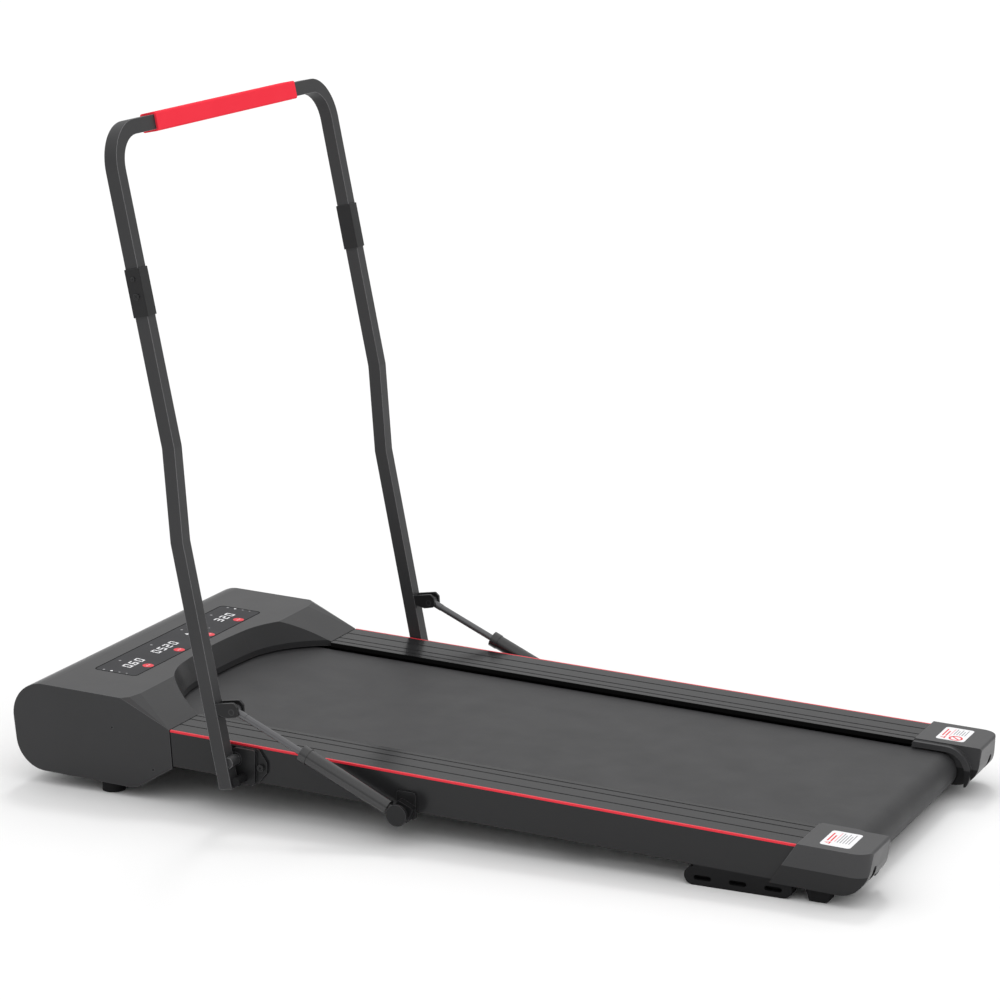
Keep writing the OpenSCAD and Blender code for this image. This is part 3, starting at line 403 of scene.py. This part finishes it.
def display():
    """Digits and dots on the glass, a band of painted shade along its border for the gap around it, and a
    pair of dashes on each key.
    """
    low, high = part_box("touch_keys")
    # the keys' box is three columns and one key wide, and one key deep
    column = (high[0] - low[0] - (high[1] - low[1])) / 3 / MM
    place = face_frame("display_lens", 0)
    white, grey = [], []
    for number, text in COLUMNS:
        x = number * column
        start = x - DIGIT_PITCH * (len(text) - 1) / 2
        for i, character in enumerate(text):
            white += digit(character, start + DIGIT_PITCH * i, 0)
        grey.append(disc(x, HEAD_DOT_Y, HEAD_DOT_D))
    first, third = COLUMNS[0][0] * column, COLUMNS[2][0] * column
    white.append(bar(first + POINT_AT, POINT_BASE, first + POINT_AT + POINT_SIZE, POINT_BASE + POINT_SIZE))
    arrow = third + ARROW_AT
    white.append([(arrow - ARROW_HALF, ARROW_BASE), (arrow + ARROW_HALF, ARROW_BASE), (arrow, ARROW_TIP)])
    grey.append(disc(third + LOW_DOT_AT, LOW_DOT_Y, LOW_DOT_D))
    for side in (-1, 1):
        for i, (y, d) in enumerate(END_DOTS):
            (white if i == WHITE_END_DOT else grey).append(disc(side * END_DOTS_X, y, d))
    slab("display_digits", place, white, mark_white)
    slab("display_dots", place, grey, mark_grey)

    # a dark band along the glass's border, painted as shade of the gap around the glass
    low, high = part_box("display_lens")
    x, y = (high[0] - low[0]) / 2 / MM, (high[1] - low[1]) / 2 / MM - RIM_INSET
    outer = rounded_bar(-x, -y, x, y, RIM_OUTER_R)
    x, y = x - RIM_W, y - RIM_W
    slab("display_gap_shade", place, ring(outer, rounded_bar(-x, -y, x, y, RIM_INNER_R)), lens_gap_shade)

    dashes = [bar(x - DASH_HALF_W, -DASH_HALF_H, x + DASH_HALF_W, DASH_HALF_H)
              for number, _ in COLUMNS
              for x in (number * column - DASH_AT, number * column + DASH_AT)]
    slab("key_marks", face_frame("touch_keys", 0), dashes, mark_pink)


# the labels on the end caps, in millimetres from the label's middle
LABEL_X, LABEL_TO_REAR = 253, 53.5
LABEL_HALF_W, LABEL_HALF_H, LABEL_R = 29.5, 21.5, 5
SIGN_X, SIGN_Y, SIGN_SIZE = -19, 13, 5
SIGN_HOLE, SIGN_HOLE_LIFT = 2.4, 0.2
TITLE = (-12, 14.6, 20, 16.8)
SUBTITLE = (-12, 9.6, 12, 11.8)
RULE = (-12, 5, 24, 6.4)
BAN_X, BAN_Y, BAN_D, BAN_HOLE = -17, -6, 21, 15
BAN_STROKE = [(-24.2, -11.4), (-22.4, -13.2), (-9.8, -0.6), (-11.6, 1.2)]
LINES_Y, LINE_H, LINES_END, SHORTER = (1, -3, -7, -11, -15), 1.3, 24, 6
PLAIN_START, BAN_START = -14, -2


def triangle(x, y, size):
    return [(x - size, y - size * 0.8), (x + size, y - size * 0.8), (x, y + size * 0.9)]


def sticker(side, name):
    """A label on a cap, its words drawn as blocks and lines; the right one has a prohibition ring."""
    low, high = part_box(name)
    place = face_frame(name, side * LABEL_X * MM)
    level = Matrix.Rotation(-slope, 4, "X")
    rear = (level @ Vector((0, low[1], high[2]))).y
    shift = rear - (level @ place.translation).y + LABEL_TO_REAR * MM
    place = place @ Matrix.Translation((0, shift, 0))
    paper = rounded_bar(-LABEL_HALF_W, -LABEL_HALF_H, LABEL_HALF_W, LABEL_HALF_H, LABEL_R)
    slab(name + "_label", place, [paper], mark_white, PAPER_THICK)

    top = place @ Matrix.Translation((0, 0, PAPER_THICK))
    red = ring(triangle(SIGN_X, SIGN_Y, SIGN_SIZE), triangle(SIGN_X, SIGN_Y + SIGN_HOLE_LIFT, SIGN_HOLE))
    red += [bar(*TITLE), bar(*SUBTITLE)]
    if side > 0:
        red += ring(disc(BAN_X, BAN_Y, BAN_D), disc(BAN_X, BAN_Y, BAN_HOLE))
        red.append(BAN_STROKE)
    slab(name + "_label_red", top, red, mark_red, PRINT_THICK)
    slab(name + "_label_pink", top, [bar(*RULE)], mark_pink, PRINT_THICK)
    start = BAN_START if side > 0 else PLAIN_START
    lines = [bar(start, y, LINES_END - SHORTER * (i % 2), y + LINE_H) for i, y in enumerate(LINES_Y)]
    slab(name + "_label_grey", top, lines, mark_grey, PRINT_THICK)


# ---------- stage ----------

FLOOR_HALF = 60.0
FLOOR_DROP = 0.2 * MM
FLOOR_TONES = (0.89, 0.91)
FLOOR_PATCHES = 0.6
FLOOR_ROUGH = 0.95
SKY_LOW_AT, SKY_LOW = 0.3, 0.52  # height in the sky, and its brightness there
SKY_HIGH_AT, SKY_HIGH = 0.55, 1.0
SKY_STRENGTH = 1.15
SUN_ENERGY = 0.45
SUN_ANGLE = math.radians(12)
SUN_HEADING = (-0.55, -0.2, -0.85)


def neutral(value):
    """A linear grey."""
    return (value, value, value, 1.0)


def lay_floor():
    mesh = bpy.data.meshes.new("floor")
    corners = [(x * FLOOR_HALF, y * FLOOR_HALF, 0) for x, y in ((-1, -1), (1, -1), (1, 1), (-1, 1))]
    mesh.from_pydata(corners, [], [(0, 1, 2, 3)])
    floor = bpy.data.objects.new("floor", mesh)
    scene.collection.objects.link(floor)
    floor.location.z = -FLOOR_DROP
    g = Graph("floor_paint")
    dark, light = FLOOR_TONES
    g.set(Base_Color=g.between(g.noise(FLOOR_PATCHES), neutral(dark), neutral(light)),
          Roughness=FLOOR_ROUGH)
    g.put(g.shader.inputs["Specular IOR Level"], 0.0)
    mesh.materials.append(g.material)


def light_studio():
    """A sky that is brighter above, and one soft sun; the view itself sees plain white behind."""
    world = bpy.data.worlds.new("studio")
    scene.world = world
    world.use_nodes = True
    tree = world.node_tree
    link = tree.links.new
    coords = tree.nodes.new("ShaderNodeTexCoord")
    split = tree.nodes.new("ShaderNodeSeparateXYZ")
    link(coords.outputs["Generated"], split.inputs[0])
    ramp = tree.nodes.new("ShaderNodeValToRGB")
    link(split.outputs["Z"], ramp.inputs[0])
    low, high = ramp.color_ramp.elements
    low.position, low.color = SKY_LOW_AT, neutral(SKY_LOW)
    high.position, high.color = SKY_HIGH_AT, neutral(SKY_HIGH)
    sky = tree.nodes["Background"]
    link(ramp.outputs["Color"], sky.inputs["Color"])
    sky.inputs["Strength"].default_value = SKY_STRENGTH
    plain = tree.nodes.new("ShaderNodeBackground")
    plain.inputs["Color"].default_value = neutral(1.0)
    path = tree.nodes.new("ShaderNodeLightPath")
    mixed = tree.nodes.new("ShaderNodeMixShader")
    link(path.outputs["Is Camera Ray"], mixed.inputs[0])
    link(sky.outputs[0], mixed.inputs[1])
    link(plain.outputs[0], mixed.inputs[2])
    link(mixed.outputs[0], tree.nodes["World Output"].inputs["Surface"])

    light = bpy.data.lights.new("key", "SUN")
    light.energy = SUN_ENERGY
    light.angle = SUN_ANGLE
    sun = bpy.data.objects.new("key", light)
    scene.collection.objects.link(sun)
    sun.rotation_euler = Vector(SUN_HEADING).to_track_quat("-Z", "Y").to_euler()
    scene.view_settings.view_transform = "Standard"


place_camera()
lay_floor()
light_studio()
display()
sticker(-1, "left_end_cap")
sticker(1, "right_end_cap")
ease(["left_end_cap", "right_end_cap"], 1.2 * MM)
ease(["left_post", "right_post", "upper_bar"], 1.0 * MM)
ease(["foam_grip"], 3 * MM, segments=4)
ease(["post_sleeves", "pivot_brackets", "strut_brackets", "strut_anchors"], 0.5 * MM, segments=2)
